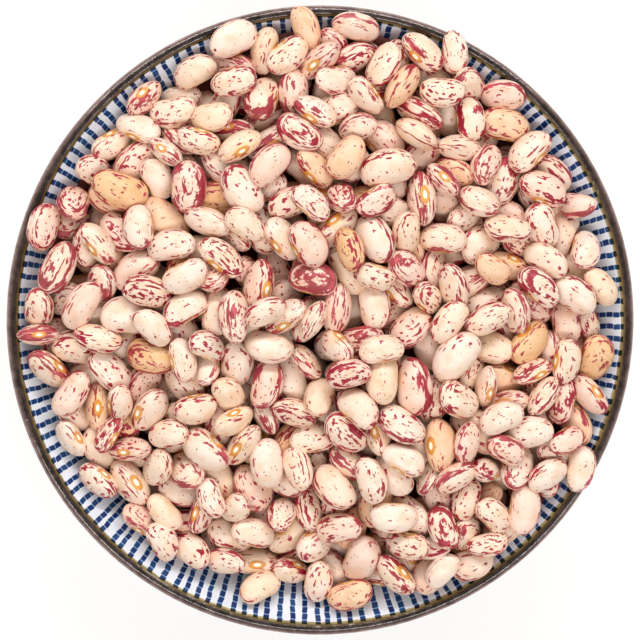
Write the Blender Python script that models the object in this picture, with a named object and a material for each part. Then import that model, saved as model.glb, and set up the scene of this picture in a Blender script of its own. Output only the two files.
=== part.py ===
"""A shallow porcelain bowl on a foot ring, heaped with speckled dried kidney beans.

The bowl is a turned shell with a rounded lip. The heap is one solid: a low core that follows the bowl,
with the beans that show fused on. Each bean is laid by one seeded rule, which drops it on what lies there.
The origin is the middle of the foot's resting face, with +Z up. Run it in Blender 4.5.
"""

import math

import bmesh
import bpy
import numpy as np
from mathutils import Matrix, Vector

MM = 0.001

# The bowl
RIM_RADIUS = 95.0 * MM
WALL = 3.8 * MM
FLOOR_TOP = 8.5 * MM
DEPTH = 38.0 * MM
CURVE_POWER = 2.4
FOOT_OUTER = 40.0 * MM
FOOT_INNER = 36.0 * MM
FOOT_RECESS = 4.5 * MM
BOWL_SEGMENTS = 48
INNER_STEPS = 9
OUTER_STEPS = 5
LIP_STEPS = 4

# The heap's outer form
HEAP_EDGE = 0.950 * RIM_RADIUS
HEAP_RISE = 15.0 * MM
HEAP_LIFT = 2.5 * MM
HEAP_FALL = 0.7
FILL_DEPTH = 17.0 * MM

# The swings of the heap's outline: how many go round it, where each is widest, and its share of the rim
HEAP_SWINGS = (
    (1, math.radians(61), 0.0224),
    (2, math.radians(130), 0.0196),
    (3, math.radians(72), 0.0224),
    (5, math.radians(20), 0.0112),
)

# One bean: the mean and the spread of each size
BEAN_LENGTH = 15.0 * MM
BEAN_LENGTH_SPREAD = 1.2 * MM
BEAN_SHORTEST = 12.6 * MM
BEAN_LONGEST = 18.0 * MM
WIDTH_SHARE = (0.64, 0.03)
THICKNESS_SHARE = (0.82, 0.04)
KIDNEY_BEND = 0.16

# How the beans are laid
SEED = 11
GRID_STEP = 0.8 * MM
FOOTPRINT = 12
SLOPE_CELLS = 5
TRIES = 200
GIVE_UP_AFTER = 80
NESTLE = 0.84
DISH_GAP = 0.7 * MM
OUTSIDE_HEIGHT = 90.0 * MM
NOWHERE = -1.0
LEAST_ROOM = 2.0 * MM
MOST_OVER = 4.0 * MM
GAP_WEIGHT = 0.2
LIE_FLAT_SHARE = 0.5
FLAT_ROLL = math.radians(18)
PITCH = math.radians(19)
FOLLOW_SLOPE = 0.8

# The solid's core and the beans fused on it
CORE_EDGE = 0.97
CORE_DROP = 4.6 * MM
CORE_GAP = 0.5 * MM
CORE_SKIRT = 1.4 * MM
CORE_SEGMENTS = 40
CORE_RINGS = 9
MOST_FUSED = 228
LEAST_SEEN = 14.0 * MM * MM
FACET_SWELL = 1.08

# Finishes
PORCELAIN = (0.78, 0.82, 0.88)
PORCELAIN_ROUGHNESS = 0.2
BEAN_COAT = (0.87, 0.72, 0.55)
BEAN_COAT_ROUGHNESS = 0.35
SHARP_ANGLE = math.radians(50)
MERGE = 0.01 * MM


def rim_inner_radius():
    """Where the inner curve ends, so that the lip's outermost point is at RIM_RADIUS."""
    slope = CURVE_POWER * DEPTH / RIM_RADIUS
    lean = slope / math.hypot(1, slope)
    return RIM_RADIUS - WALL / 2 * (1 + lean)


INNER_RADIUS = rim_inner_radius()


def dish_height(radius):
    """Height of the bowl's inner surface at a radius."""
    share = np.minimum(radius, INNER_RADIUS) / INNER_RADIUS
    return FLOOR_TOP + DEPTH * share**CURVE_POWER


def heap_edge(angle):
    """The heap's outer radius, which swings in and out around the bowl."""
    swings = (size * np.cos(count * (angle - way)) for count, way, size in HEAP_SWINGS)
    return HEAP_EDGE + RIM_RADIUS * sum(swings)


def heap_height(x, y):
    """Height of the heap's even outer form, a dome that drops off past its edge."""
    edge = heap_edge(np.arctan2(y, x))
    share = np.hypot(x, y) / edge
    dome = HEAP_RISE * (1 - share**2)
    past = np.clip(share - 1, 0, None) * edge
    return dish_height(edge) + HEAP_LIFT + dome - HEAP_FALL * past


def turned(yaw, pitch, roll):
    """Rotation matrices for arrays of yaw, pitch and roll: a bean's length is its own X, its thickness Z."""
    none, one = np.zeros_like(yaw), np.ones_like(yaw)
    cz, sz = np.cos(yaw), np.sin(yaw)
    cy, sy = np.cos(pitch), np.sin(pitch)
    cx, sx = np.cos(roll), np.sin(roll)
    about_z = np.stack([cz, -sz, none, sz, cz, none, none, none, one], -1).reshape(-1, 3, 3)
    about_y = np.stack([cy, none, sy, none, one, none, -sy, none, cy], -1).reshape(-1, 3, 3)
    about_x = np.stack([one, none, none, none, cx, -sx, none, sx, cx], -1).reshape(-1, 3, 3)
    return about_z @ about_y @ about_x


def tipped(slope_x, slope_y):
    """Rotation matrices that tip +Z to the normal of a surface with these slopes."""
    normal = np.stack([-slope_x, -slope_y, np.ones_like(slope_x)], -1)
    normal /= np.linalg.norm(normal, axis=1, keepdims=True)
    x, y, z = normal.T
    none = np.zeros_like(x)
    cross = np.stack([none, none, x, none, none, y, -x, -y, none], -1).reshape(-1, 3, 3)
    return np.eye(3) + cross + cross @ cross / (1 + z)[:, None, None]


def ellipsoid_sides(turn, half_sizes, dx, dy):
    """Lower and upper height of turned ellipsoids over a footprint of offsets, and where they have any."""
    form = turn @ np.diag(1 / half_sizes**2) @ np.swapaxes(turn, -1, -2)
    xx, xy, xz, yy, yz, zz = (
        form[..., i, j][..., None, None] for i, j in ((0, 0), (0, 1), (0, 2), (1, 1), (1, 2), (2, 2))
    )
    linear = xz * dx + yz * dy
    rest = xx * dx**2 + 2 * xy * dx * dy + yy * dy**2 - 1
    inside = linear**2 - zz * rest
    root = np.sqrt(np.where(inside > 0, inside, 0))
    return (-linear - root) / zz, (-linear + root) / zz, inside > 0


def bean_half_sizes(random):
    length = np.clip(random.normal(BEAN_LENGTH, BEAN_LENGTH_SPREAD), BEAN_SHORTEST, BEAN_LONGEST)
    width = length * random.normal(*WIDTH_SHARE)
    thickness = width * random.normal(*THICKNESS_SHARE)
    return np.array([length, width, thickness]) / 2


def bean_turns(random, slope_x, slope_y):
    """One random way up for each try. Some beans lie flat on what is under them, and the rest lie anyhow."""
    count = len(slope_x)
    flat = random.random(count) < LIE_FLAT_SHARE
    roll = np.where(flat, random.normal(0, FLAT_ROLL, count), random.uniform(-math.pi, math.pi, count))
    roll += np.where(random.random(count) < 0.5, math.pi, 0)
    yaw = random.uniform(0, 2 * math.pi, count)
    return tipped(FOLLOW_SLOPE * slope_x, FOLLOW_SLOPE * slope_y) @ turned(
        yaw, random.normal(0, PITCH, count), roll
    )


def lay_beans():
    """Lays the heap bean by bean: of many tries, each bean takes the one that settles deepest under the
    heap's outer form. Returns (centre, turn, half sizes, area seen from above) for each, in order."""
    random = np.random.default_rng(SEED)
    reach = RIM_RADIUS + FOOTPRINT * GRID_STEP
    axis = np.arange(-reach, reach, GRID_STEP)
    count = len(axis)
    grid_x, grid_y = np.meshgrid(axis, axis)
    outside = np.hypot(grid_x, grid_y) > INNER_RADIUS + WALL
    form = heap_height(grid_x, grid_y)
    dish = dish_height(np.hypot(grid_x, grid_y)) + DISH_GAP
    dish[outside] = OUTSIDE_HEIGHT
    ground = np.maximum(dish, form - FILL_DEPTH)
    owner = np.full(ground.shape, -1)
    cells = np.arange(-FOOTPRINT, FOOTPRINT + 1)
    cell_x, cell_y = np.meshgrid(cells, cells)
    dx, dy = cell_x * GRID_STEP, cell_y * GRID_STEP
    span = 2 * SLOPE_CELLS * GRID_STEP
    beans = []
    failures = 0
    while failures < GIVE_UP_AFTER:
        half_sizes = bean_half_sizes(random)
        room = (form - ground).ravel()
        open_cells = np.flatnonzero(room > LEAST_ROOM)
        if not len(open_cells):
            break
        weight = room[open_cells] ** 2
        row, column = divmod(random.choice(open_cells, TRIES, p=weight / weight.sum()), count)
        fall_x = ground[row, column + SLOPE_CELLS] - ground[row, column - SLOPE_CELLS]
        fall_y = ground[row + SLOPE_CELLS, column] - ground[row - SLOPE_CELLS, column]
        slope_x, slope_y = np.clip(fall_x / span, -1, 1), np.clip(fall_y / span, -1, 1)
        turn = bean_turns(random, slope_x, slope_y)
        rows, columns = row[:, None, None] + cell_y, column[:, None, None] + cell_x
        low, _, inside = ellipsoid_sides(turn, half_sizes * NESTLE, dx, dy)
        under = ground[rows, columns]
        height = np.where(inside, under - low, NOWHERE).max((1, 2))
        full_low, _, full_inside = ellipsoid_sides(turn, half_sizes, dx, dy)
        on_dish = np.where(full_inside, dish[rows, columns] - full_low, NOWHERE).max((1, 2))
        height = np.maximum(height, on_dish)
        gap = np.where(inside, height[:, None, None] + low - under, 0).sum((1, 2)) / inside.sum((1, 2))
        half_height = np.sqrt(((turn[:, 2, :] * half_sizes) ** 2).sum(1))
        target = form[row, column]
        score = height - target + GAP_WEIGHT * gap
        score[height + half_height - target > MOST_OVER] = np.inf
        best = int(np.argmin(score))
        if not np.isfinite(score[best]):
            failures += 1
            continue
        failures = 0
        _, high, inside = ellipsoid_sides(turn[best], half_sizes, dx, dy)
        top = np.where(inside, height[best] + high, NOWHERE)
        rows, columns = row[best] + cell_y, column[best] + cell_x
        higher = top > ground[rows, columns]
        ground[rows[higher], columns[higher]] = top[higher]
        owner[rows[higher], columns[higher]] = len(beans)
        centre = (axis[column[best]], axis[row[best]], height[best])
        beans.append((Vector(centre), turn[best], half_sizes))
    seen = np.bincount(owner[owner >= 0], minlength=len(beans)) * GRID_STEP**2
    return [(*bean, area) for bean, area in zip(beans, seen)]


def clear_scene():
    for obj in list(bpy.data.objects):
        bpy.data.objects.remove(obj)


def finish_material(name, colour, roughness):
    material = bpy.data.materials.new(name)
    material.use_nodes = True
    shader = material.node_tree.nodes["Principled BSDF"]
    shader.inputs["Base Color"].default_value = (*colour, 1)
    shader.inputs["Roughness"].default_value = roughness
    shader.inputs["Metallic"].default_value = 0
    return material


def object_from(name, mesh_builder, material):
    mesh = bpy.data.meshes.new(name)
    mesh_builder.to_mesh(mesh)
    mesh_builder.free()
    mesh.materials.append(material)
    obj = bpy.data.objects.new(name, mesh)
    bpy.context.scene.collection.objects.link(obj)
    return obj


def outward(radius):
    """The inner curve's point and its unit normal into the wall, both as (radius, height)."""
    slope = CURVE_POWER * DEPTH / INNER_RADIUS * (radius / INNER_RADIUS) ** (CURVE_POWER - 1)
    point = Vector((radius, float(dish_height(radius))))
    return point, Vector((slope, -1)).normalized()


def bowl_outline():
    """The bowl's half section as (radius, height), from the middle of its inside over the lip to below."""
    inner = [outward(INNER_RADIUS * k / INNER_STEPS)[0] for k in range(INNER_STEPS + 1)]
    end, into_wall = outward(INNER_RADIUS)
    lip_middle = end + into_wall * WALL / 2
    start_angle = math.atan2(-into_wall.y, -into_wall.x)
    lip = [
        lip_middle + Vector((math.cos(angle), math.sin(angle))) * WALL / 2
        for angle in (start_angle - math.pi * k / LIP_STEPS for k in range(1, LIP_STEPS))
    ]
    outer = []
    for k in range(OUTER_STEPS + 1):
        radius = INNER_RADIUS + (FOOT_OUTER - INNER_RADIUS) * k / OUTER_STEPS
        point, into_wall = outward(radius)
        outer.append(point + into_wall * WALL)
    foot = [
        Vector((FOOT_OUTER, 0)),
        Vector((FOOT_INNER, 0)),
        Vector((FOOT_INNER, FOOT_RECESS)),
        Vector((0, FOOT_RECESS)),
    ]
    return inner + lip + outer + foot


def make_bowl():
    """Spins the half section into one closed shell."""
    bm = bmesh.new()
    corners = [bm.verts.new((point.x, 0, point.y)) for point in bowl_outline()]
    for first, second in zip(corners, corners[1:]):
        bm.edges.new((first, second))
    bmesh.ops.spin(
        bm, geom=bm.verts[:] + bm.edges[:], cent=(0, 0, 0), axis=(0, 0, 1),
        angle=2 * math.pi, steps=BOWL_SEGMENTS, use_merge=True,
    )
    bmesh.ops.remove_doubles(bm, verts=bm.verts, dist=MERGE)
    bmesh.ops.recalc_face_normals(bm, faces=bm.faces)
    bowl = object_from("bowl", bm, finish_material("porcelain", PORCELAIN, PORCELAIN_ROUGHNESS))
    bowl.data.shade_smooth()
    bowl.data.set_sharp_from_angle(angle=SHARP_ANGLE)
    return bowl


def underside_height(x, y):
    """The lowest that the heap reaches: clear of the bowl's inner surface and of its flat facets."""
    radius = math.hypot(x, y)
    slope = CURVE_POWER * DEPTH / INNER_RADIUS * (radius / INNER_RADIUS) ** (CURVE_POWER - 1)
    chord_sag = radius * (1 - math.cos(math.pi / CORE_SEGMENTS)) * slope
    return float(dish_height(radius)) + CORE_GAP + chord_sag


def make_core(coat):
    """The heap's core: a dome under the beans. It follows the bowl below, and its edge is a thin skirt."""
    bm = bmesh.new()
    top = [bm.verts.new((k / CORE_RINGS, 0, 1)) for k in range(CORE_RINGS + 1)]
    under = [bm.verts.new((k / CORE_RINGS, 0, 0)) for k in range(CORE_RINGS, -1, -1)]
    outline = top + under
    for first, second in zip(outline, outline[1:]):
        bm.edges.new((first, second))
    bmesh.ops.spin(
        bm, geom=bm.verts[:] + bm.edges[:], cent=(0, 0, 0), axis=(0, 0, 1),
        angle=2 * math.pi, steps=CORE_SEGMENTS, use_merge=True,
    )
    bmesh.ops.remove_doubles(bm, verts=bm.verts, dist=MERGE)
    for vertex in bm.verts:
        edge = CORE_EDGE * float(heap_edge(math.atan2(vertex.co.y, vertex.co.x)))
        x, y = vertex.co.x * edge, vertex.co.y * edge
        bottom = underside_height(x, y)
        dome = float(heap_height(x, y)) - CORE_DROP
        vertex.co = (x, y, max(dome, bottom + CORE_SKIRT) if vertex.co.z > 0.5 else bottom)
    bmesh.ops.recalc_face_normals(bm, faces=bm.faces)
    return object_from("bean_heap", bm, coat)


def make_bean(bean, index, coat):
    """One bean with few sides, bent like a kidney, and kept clear of the bowl."""
    centre, turn, half_sizes, _ = bean
    bm = bmesh.new()
    bmesh.ops.create_icosphere(bm, subdivisions=1, radius=FACET_SWELL)
    for vertex in bm.verts:
        vertex.co.y += KIDNEY_BEND * (0.5 - vertex.co.x**2)
    place = Matrix.Translation(centre) @ Matrix(turn.tolist()).to_4x4() @ Matrix.Diagonal((*half_sizes, 1))
    bmesh.ops.transform(bm, matrix=place, verts=bm.verts)
    for vertex in bm.verts:
        vertex.co.z = max(vertex.co.z, underside_height(vertex.co.x, vertex.co.y))
    return object_from(f"fused_bean_{index}", bm, coat)


def keep_largest(bm):
    """Removes every loose scrap, so that one closed body is left."""
    left = set(bm.verts)
    bodies = []
    while left:
        body, edge_of_body = set(), [left.pop()]
        while edge_of_body:
            vertex = edge_of_body.pop()
            body.add(vertex)
            for edge in vertex.link_edges:
                other = edge.other_vert(vertex)
                if other in left:
                    left.remove(other)
                    edge_of_body.append(other)
        bodies.append(body)
    bodies.sort(key=len)
    scraps = [vertex for body in bodies[:-1] for vertex in body]
    bmesh.ops.delete(bm, geom=scraps, context="VERTS")


def make_heap():
    """Fuses the beans that show most to the core with one union."""
    coat = finish_material("bean_coat", BEAN_COAT, BEAN_COAT_ROUGHNESS)
    core = make_core(coat)
    shown = sorted((bean for bean in lay_beans() if bean[3] > LEAST_SEEN), key=lambda bean: -bean[3])
    fused = bpy.data.collections.new("fused_beans")
    bpy.context.scene.collection.children.link(fused)
    for index, bean in enumerate(shown[:MOST_FUSED]):
        obj = make_bean(bean, index, coat)
        bpy.context.scene.collection.objects.unlink(obj)
        fused.objects.link(obj)
    union = core.modifiers.new("fuse", "BOOLEAN")
    union.operation = "UNION"
    union.operand_type = "COLLECTION"
    union.collection = fused
    union.solver = "MANIFOLD"
    bpy.context.view_layer.update()
    bm = bmesh.new()
    bm.from_object(core, bpy.context.evaluated_depsgraph_get())
    keep_largest(bm)
    core.modifiers.clear()
    bm.to_mesh(core.data)
    bm.free()
    for obj in list(fused.objects):
        bpy.data.objects.remove(obj)
    bpy.data.collections.remove(fused)
    return core


def main():
    clear_scene()
    make_bowl()
    make_heap()


main()
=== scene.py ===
"""A shallow porcelain bowl heaped with speckled dried kidney beans: how it looks.

The frame holds the bowl and the heap as plain solids. Here a finely turned bowl, painted with stripes of
squares, and 465 single beans take their places. The beans are laid by the same seeded rule as the
solid's, with the same values, so each bean lies where the solid has it.
"""

import math

import bmesh
import bpy
import numpy as np
from bpy.props import FloatProperty, FloatVectorProperty, IntProperty, PointerProperty
from mathutils import Matrix, Vector


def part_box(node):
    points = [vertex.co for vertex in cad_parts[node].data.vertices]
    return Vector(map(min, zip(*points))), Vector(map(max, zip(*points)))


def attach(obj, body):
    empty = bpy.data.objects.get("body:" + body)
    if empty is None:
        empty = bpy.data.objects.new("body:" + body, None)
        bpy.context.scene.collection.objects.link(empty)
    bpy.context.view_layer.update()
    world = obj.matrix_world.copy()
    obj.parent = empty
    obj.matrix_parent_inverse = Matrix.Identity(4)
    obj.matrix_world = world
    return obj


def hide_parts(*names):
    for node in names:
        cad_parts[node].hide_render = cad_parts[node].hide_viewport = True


bl_info = {
    "name": "Bowl of Dried Beans",
    "version": (1, 0, 0),
    "blender": (4, 5, 0),
    "location": "3D View > Sidebar > Bean Bowl",
    "description": "A patterned porcelain bowl heaped with speckled dried beans",
    "category": "Object",
}

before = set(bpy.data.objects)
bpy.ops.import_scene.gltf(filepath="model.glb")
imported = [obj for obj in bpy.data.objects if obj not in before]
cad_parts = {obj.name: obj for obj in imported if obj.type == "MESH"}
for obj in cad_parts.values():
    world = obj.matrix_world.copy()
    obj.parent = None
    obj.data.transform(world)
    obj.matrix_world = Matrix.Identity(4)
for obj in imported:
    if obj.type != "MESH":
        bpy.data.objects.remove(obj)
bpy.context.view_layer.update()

MM = 0.001
MERGE = 0.005 * MM
PICTURE_SIDE = 640

# The bowl's form
RIM_RADIUS = 95.0 * MM
WALL = 3.8 * MM
FLOOR_TOP = 8.5 * MM
DEPTH = 38.0 * MM
CURVE_POWER = 2.4
FOOT_OUTER = 40.0 * MM
FOOT_INNER = 36.0 * MM
FOOT_RECESS = 4.5 * MM
FOOT_FLARE = 2.5 * MM
FOOT_FILLET = 3.0 * MM
FOOT_ROUNDING = 0.8 * MM
INNER_STEPS = 56
LIP_STEPS = 14
OUTER_STEPS = 24
ROUNDING_STEPS = 4
RECESS_STEPS = 6

# Where the bowl's glazes change, and how softly. A run is measured down the inside from the lip, so it is
# below 0 on the lip and outside. The bare foot goes by its height.
FRAY = 1.0 * MM
GLAZE_BLUR = 0.3 * MM
STAIN_BEGINS = (-2.0 * MM, -1.0 * MM)
LIP_CREST = (-1.5 * MM, -3.4 * MM)
BARE_FOOT = (0.9 * MM, 0.6 * MM)
GLAZE_RELIEF = 0.35 * MM

# The heap's outer form
HEAP_EDGE = 0.950 * RIM_RADIUS
HEAP_RISE = 15.0 * MM
HEAP_LIFT = 2.5 * MM
HEAP_FALL = 0.7
FILL_DEPTH = 17.0 * MM

# The swings of the heap's outline: how many go round it, where each is widest, and its share of the rim
HEAP_SWINGS = (
    (1, math.radians(61), 0.0224),
    (2, math.radians(130), 0.0196),
    (3, math.radians(72), 0.0224),
    (5, math.radians(20), 0.0112),
)

# One bean: the mean and the spread of each size
BEAN_LENGTH = 15.0 * MM
BEAN_LENGTH_SPREAD = 1.2 * MM
BEAN_SHORTEST = 12.6 * MM
BEAN_LONGEST = 18.0 * MM
WIDTH_SHARE = (0.64, 0.03)
THICKNESS_SHARE = (0.82, 0.04)

# How the beans are laid
SEED = 11
GRID_STEP = 0.8 * MM
FOOTPRINT = 12
SLOPE_CELLS = 5
TRIES = 200
GIVE_UP_AFTER = 80
NESTLE = 0.84
DISH_GAP = 0.7 * MM
OUTSIDE_HEIGHT = 90.0 * MM
NOWHERE = -1.0
LEAST_ROOM = 2.0 * MM
MOST_OVER = 4.0 * MM
GAP_WEIGHT = 0.2
LIE_FLAT_SHARE = 0.5
FLAT_ROLL = math.radians(18)
PITCH = math.radians(19)
FOLLOW_SLOPE = 0.8

# A bean's own form, on half sizes of 1: its outline is blunt, its side view keen, and the hilum is at -Y
BLUNTNESS = 2.6
KEENNESS = 0.56
SKIN_SEED = 23
SKIN_GAP = 0.25 * MM
LIP_GAP = 0.2 * MM
DENT_LENGTH = 0.34
DENT_HEIGHT = 0.5
COAT_RELIEF = 0.08 * MM
SEEN_WELL = 10.0 * MM * MM
FINE_SIDES = (32, 20)
PLAIN_SIDES = (16, 10)

# The heap's dark inner mesh under the beans, coloured as painted shade of the beans deeper down
CORE_EDGE = 0.93
CORE_GAP = 0.4 * MM
CORE_SKIRT = 0.8 * MM
CORE_RINGS = 24
CORE_AROUND = 96

# Slow patches of a coat are this share of its tone, in light
PATCH_TINT = (0.95, 0.86, 0.77)

# The kinds of bean: each one's parts of the heap, then its coat's tone, flecks, splashes, back streak and
# hilum glow
KINDS = {
    "beans_pale_clean": (6, (244, 225, 208), 0.25, 0.10, 0.25, 0.60),
    "beans_pale_flecked": (11, (243, 223, 206), 0.75, 0.35, 0.40, 0.45),
    "beans_pale_splashed": (12, (243, 223, 206), 0.60, 0.85, 0.50, 0.50),
    "beans_cream_clean": (7, (242, 218, 192), 0.30, 0.15, 0.30, 0.85),
    "beans_cream_flecked": (13, (243, 221, 200), 0.85, 0.40, 0.45, 0.60),
    "beans_cream_splashed": (12, (242, 219, 198), 0.65, 0.90, 0.55, 0.65),
    "beans_cream_streaked": (11, (243, 220, 201), 0.50, 0.55, 1.00, 0.55),
    "beans_pink_streaked": (9, (242, 213, 196), 0.65, 0.90, 0.90, 0.45),
    "beans_pink_flecked": (8, (241, 211, 193), 1.00, 0.60, 0.55, 0.45),
    "beans_peach": (6, (239, 204, 172), 0.55, 0.55, 0.60, 0.85),
    "beans_tan": (3, (235, 196, 152), 0.60, 0.70, 0.75, 0.95),
}


def linear(red, green, blue):
    """A colour as it is seen on a screen, from 0 to 255, as the light it stands for."""
    shares = (red / 255, green / 255, blue / 255)
    return tuple(s / 12.92 if s <= 0.04045 else ((s + 0.055) / 1.055) ** 2.4 for s in shares)


def length(name, description, default):
    return FloatProperty(name=name, description=description, default=default, unit="LENGTH", precision=5)


def angle(name, description, degrees):
    return FloatProperty(
        name=name, description=description, default=math.radians(degrees), subtype="ANGLE"
    )


def colour(name, description, *screen):
    return FloatVectorProperty(
        name=name, description=description, default=linear(*screen), subtype="COLOR", min=0, max=1
    )


class BowlLook(bpy.types.PropertyGroup):
    around: IntProperty(name="Sides", description="Steps of the turned bowl", default=240, min=24)
    stripes: IntProperty(name="Stripes", description="Stripes around the inside", default=152, min=1)
    stripe_share: FloatProperty(
        name="Stripe Share", description="Stripe's share of its pitch", default=0.43, subtype="FACTOR"
    )
    square_pitch: length("Square Pitch", "One painted square and its line, along the wall", 2.42 * MM)
    square_line: length("Square Line", "Thin line between two painted squares", 0.30 * MM)
    lip_inside: length("Lip Inside", "How far short of the inside the brown glaze ends", 0.55 * MM)
    lip_outside: length("Lip Outside", "How far the brown glaze reaches down the outside", 8.6 * MM)
    stain: length("Stain", "Width of the olive stain inside the brown glaze", 1.5 * MM)
    stain_slant: length("Stain Slant", "How much deeper the stain reaches on its deep side", 0.3 * MM)
    # Across from this side the stain is also darkened, as painted shade
    stain_side: angle("Stain Side", "Side where the stain is deep", -35)
    white: colour("White", "Glaze on the body", 228, 232, 239)
    cobalt: colour("Cobalt", "Painted squares", 24, 52, 106)
    cobalt_light: colour("Light Cobalt", "Painted squares where the brush held less", 36, 80, 130)
    cobalt_pale: colour("Pale Cobalt", "Thin line between the squares", 146, 176, 208)
    brown: colour("Brown", "Iron glaze on the lip", 38, 25, 19)
    brown_light: colour("Light Brown", "Where the lip's glaze is thin", 148, 120, 112)
    olive: colour("Olive", "Stain where the glazes meet, at its inner edge", 212, 192, 138)
    umber: colour("Umber", "Stain beside the lip", 116, 92, 56)
    green: colour("Green", "Painted squares under the stain", 40, 66, 52)
    biscuit: colour("Biscuit", "Unglazed foot", 214, 200, 180)


class BeanLook(bpy.types.PropertyGroup):
    bend: FloatProperty(name="Bend", description="How far a bean bends, on a half width of 1", default=0.12)
    bend_spread: FloatProperty(name="Bend Spread", description="Spread of the bend", default=0.04)
    taper: FloatProperty(name="Taper", description="Spread of one end's extra fullness", default=0.05)
    dent: FloatProperty(name="Dent", description="Depth of the dent at the hilum", default=0.06)
    unevenness: FloatProperty(name="Unevenness", description="Slow swelling of the skin", default=0.012)
    crimson: colour("Crimson", "Flecks and streaks", 158, 20, 50)
    rose: colour("Rose", "Flecks and streaks where the colour is thin", 200, 78, 94)
    blush: colour("Blush", "Pink that bleeds out round the marks", 236, 156, 146)
    dark: colour("Dark", "Small dark dots", 84, 54, 60)
    glow: colour("Glow", "Yellow round the hilum", 250, 208, 124)
    ring: colour("Ring", "Ring of the hilum", 224, 154, 50)
    ring_edge: colour("Ring Edge", "Outline and tips of the ring", 180, 92, 36)
    eye: colour("Eye", "Middle of the hilum", 253, 246, 228)
    # Painted shade: a dark colour where only shaded beans would show, deep between the beans
    core: colour("Core", "What shows deep between the beans", 104, 36, 18)
    core_depth: length("Core Depth", "How far the core lies under the heap's outer form", 16.0 * MM)


class StageLook(bpy.types.PropertyGroup):
    floor: colour("Floor", "Table, as its own surface", 170, 169, 168)
    table_light: colour("Table Light", "Light that the table gives", 251, 249, 247)
    floor_width: length("Floor Width", "Side of the floor", 4.0)
    camera_distance: length("Camera Distance", "From the rim's middle", 0.72)
    floor_glow: FloatProperty(name="Floor Glow", description="Strength of the table's light", default=0.62)
    camera_tilt: angle("Camera Tilt", "Away from straight above", 5.6)
    camera_side: angle("Camera Side", "Side that it tilts to", 160)
    camera_aim: length("Camera Aim", "Off the rim's middle, so that the rim fills the picture", 1.4 * MM)
    rim_pixels: FloatProperty(name="Rim Pixels", description="Rim's width in the picture", default=631.3)
    lamp_power: FloatProperty(name="Lamp Power", description="Both strip lamps", default=35.0, unit="POWER")
    lamp_share: FloatProperty(
        name="Lamp Share", description="The far lamp's share of the power", default=0.58, subtype="FACTOR"
    )
    lamp_distance: length("Lamp Distance", "From the bowl to each strip lamp", 1.5)
    far_lean: angle("Far Lamp's Lean", "Off straight above", 48)
    near_lean: angle("Near Lamp's Lean", "Off straight above", 28)
    lamp_length: length("Lamp Length", "Along each strip lamp", 2.4)
    lamp_width: length("Lamp Width", "Across each strip lamp", 0.16)
    sky: FloatProperty(name="Sky", description="Even white light from all round", default=0.41)
    view_gamma: FloatProperty(name="View Gamma", description="Under 1, middle tones deepen", default=0.88)


class Wires:
    """Places nodes in a tree and joins them. What a node reads may be a plain value or another's socket."""

    def __init__(self, tree):
        self.tree = tree

    def join(self, value, socket):
        if isinstance(value, bpy.types.NodeSocket):
            self.tree.links.new(value, socket)
        elif socket.type == "RGBA" and len(value) == 3:
            socket.default_value = (*value, 1)
        else:
            socket.default_value = value

    def node(self, kind, inputs=(), **settings):
        node = self.tree.nodes.new(kind)
        for name, value in settings.items():
            setattr(node, name, value)
        for key, value in dict(inputs).items():
            self.join(value, node.inputs[key])
        return node

    def math(self, operation, first, second=0.0):
        return self.node("ShaderNodeMath", {0: first, 1: second}, operation=operation).outputs[0]

    def add(self, first, second):
        return self.math("ADD", first, second)

    def times(self, first, second):
        return self.math("MULTIPLY", first, second)

    def less(self, first, second):
        return self.math("SUBTRACT", first, second)

    def step(self, value, start, end):
        """Rises smoothly from 0 at start to 1 at end, or falls where start is the larger."""
        inputs = {"Value": value, "From Min": start, "From Max": end}
        return self.node("ShaderNodeMapRange", inputs, interpolation_type="SMOOTHSTEP").outputs[0]

    def between(self, value, low, high):
        """Turns a share from 0 to 1 into a value from low to high."""
        return self.node("ShaderNodeMapRange", {"Value": value, "To Min": low, "To Max": high}).outputs[0]

    def parts(self, vector):
        return self.node("ShaderNodeSeparateXYZ", {0: vector}).outputs[:]

    def vector(self, x, y, z):
        return self.node("ShaderNodeCombineXYZ", {0: x, 1: y, 2: z}).outputs[0]

    def shift(self, vector, by):
        return self.node("ShaderNodeVectorMath", {0: vector, 1: by}, operation="ADD").outputs[0]

    def grow(self, vector, by):
        return self.node("ShaderNodeVectorMath", {0: vector, "Scale": by}, operation="SCALE").outputs[0]

    def noise(self, vector, scale, detail=2.0, roughness=0.5):
        inputs = {"Vector": vector, "Scale": scale, "Detail": detail, "Roughness": roughness}
        return self.node("ShaderNodeTexNoise", inputs).outputs["Fac"]

    def mix(self, share, first, second, blend="MIX"):
        node = self.tree.nodes.new("ShaderNodeMix")
        node.data_type = "RGBA"
        node.blend_type = blend
        for value, index in ((share, 0), (first, 6), (second, 7)):
            self.join(value, node.inputs[index])
        return node.outputs[2]

    def attribute(self, name, output="Fac"):
        return self.node("ShaderNodeAttribute", attribute_name=name).outputs[output]

    def group(self, tree, **inputs):
        named = {key.replace("_", " ").title(): value for key, value in inputs.items()}
        return self.node("ShaderNodeGroup", named, node_tree=tree).outputs


def new_group(name, inputs, outputs):
    """An empty shader group with named sockets. Returns it, its Wires, its inputs and its output node."""
    tree = bpy.data.node_groups.new(name, "ShaderNodeTree")
    for label, kind in inputs.items():
        tree.interface.new_socket(label, in_out="INPUT", socket_type="NodeSocket" + kind)
    for label, kind in outputs.items():
        tree.interface.new_socket(label, in_out="OUTPUT", socket_type="NodeSocket" + kind)
    wires = Wires(tree)
    return tree, wires, wires.node("NodeGroupInput").outputs, wires.node("NodeGroupOutput")


def new_material(name):
    """A material with one Principled shader. Returns it, its Wires and the shader's inputs."""
    material = bpy.data.materials.new(name)
    material.use_nodes = True
    wires = Wires(material.node_tree)
    return material, wires, material.node_tree.nodes["Principled BSDF"].inputs


def bump(wires, height, distance):
    inputs = {"Height": height, "Distance": distance, "Strength": 1.0}
    return wires.node("ShaderNodeBump", inputs).outputs["Normal"]


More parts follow.
